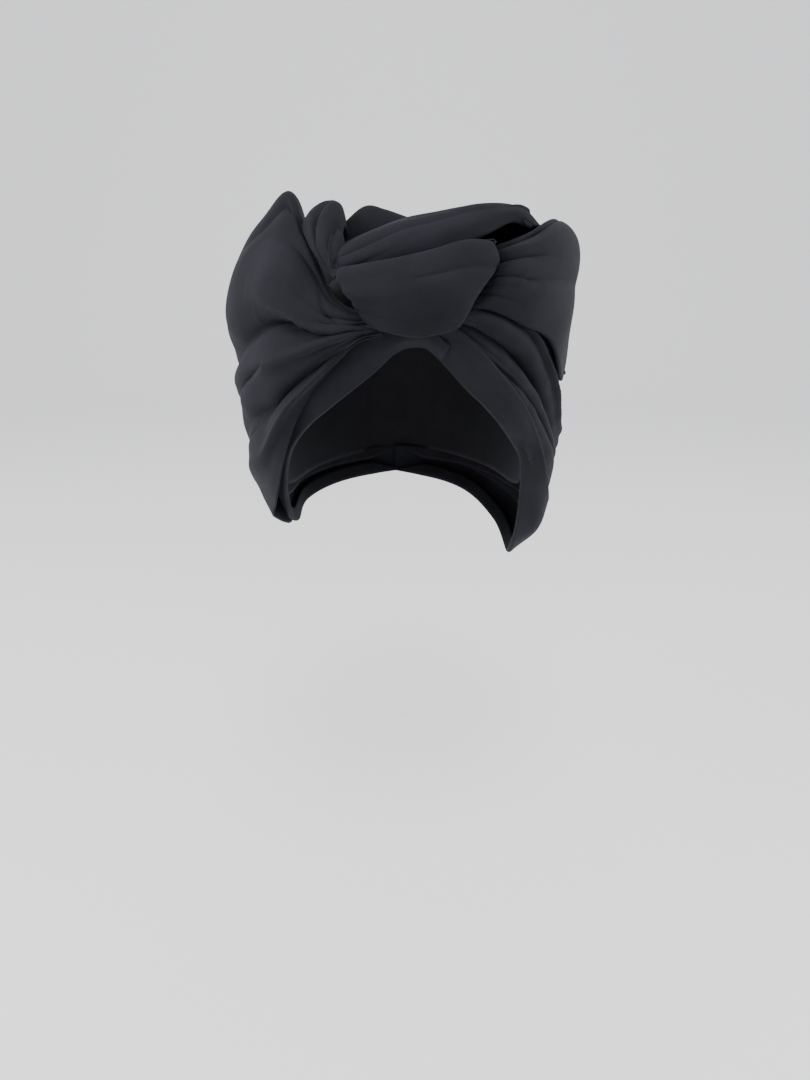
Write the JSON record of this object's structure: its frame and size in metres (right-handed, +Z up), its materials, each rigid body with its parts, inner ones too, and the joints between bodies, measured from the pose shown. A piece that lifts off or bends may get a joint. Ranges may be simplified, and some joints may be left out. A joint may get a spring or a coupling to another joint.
{
  "type": "turban headwrap",
  "caption": "Black pre-tied cloth turban: a close cap with side panels gathered into a flat knot over the brow, loops standing above it, and hem bands round an open face.",
  "frame": {"origin": "where the top of the wearer's head touches the inside of the crown", "axes": "+Z up, -Y towards the face and the knot, +X to the right as seen from the front"},
  "size_m": [0.2093, 0.2192, 0.2235],
  "materials": {
    "cap_cloth": "matte black stretch jersey",
    "wrap_cloth": "black woven cotton with a soft sheen",
    "hem_cloth": "the same black woven cotton, folded double"
  },
  "bodies": {
    "root": {"crown_cap": "cap_cloth", "left_side_panel": "wrap_cloth", "right_side_panel": "wrap_cloth", "left_hem_band": "hem_cloth", "right_hem_band": "hem_cloth", "knot_wrap": "wrap_cloth", "knot_top": "wrap_cloth", "left_middle_loop": "wrap_cloth", "left_back_loop": "wrap_cloth", "right_loop": "wrap_cloth"}
  },
  "joints": []
}
